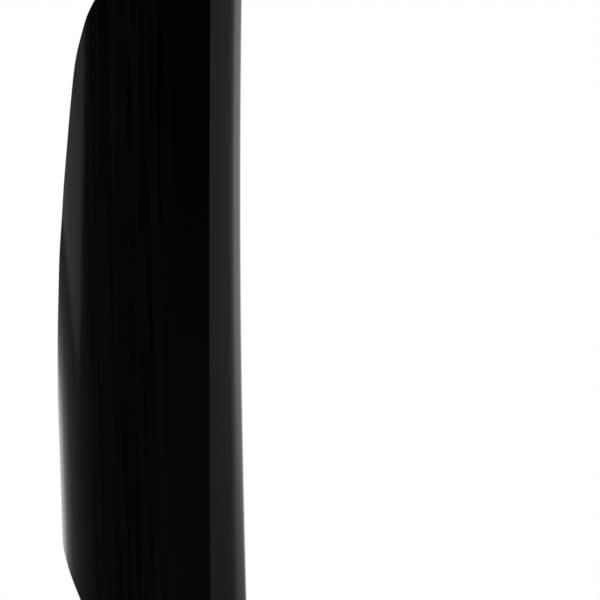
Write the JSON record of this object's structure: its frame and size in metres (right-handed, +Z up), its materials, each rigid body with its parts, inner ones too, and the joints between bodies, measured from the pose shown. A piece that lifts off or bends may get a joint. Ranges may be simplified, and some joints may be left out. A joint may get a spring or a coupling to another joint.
{
  "type": "fork guard",
  "caption": "Tall gloss black moulded shell that shields one fork leg: flat front strip, sharp crease, barrel flank with a fading facet, and a bolted foot.",
  "frame": {"origin": "centre of the mounting pad's back face, midway between its two bolt holes", "axes": "+Z up along the fork leg, +Y towards the back of the motorcycle, out of the pad's back face, and +X towards the wheel"},
  "size_m": [0.101, 0.0584, 0.4033],
  "materials": {
    "gloss_black_polypropylene": "polypropylene dyed black through, with the gloss of a polished mould"
  },
  "bodies": {
    "root": {"fork_guard": "gloss_black_polypropylene"}
  },
  "joints": []
}
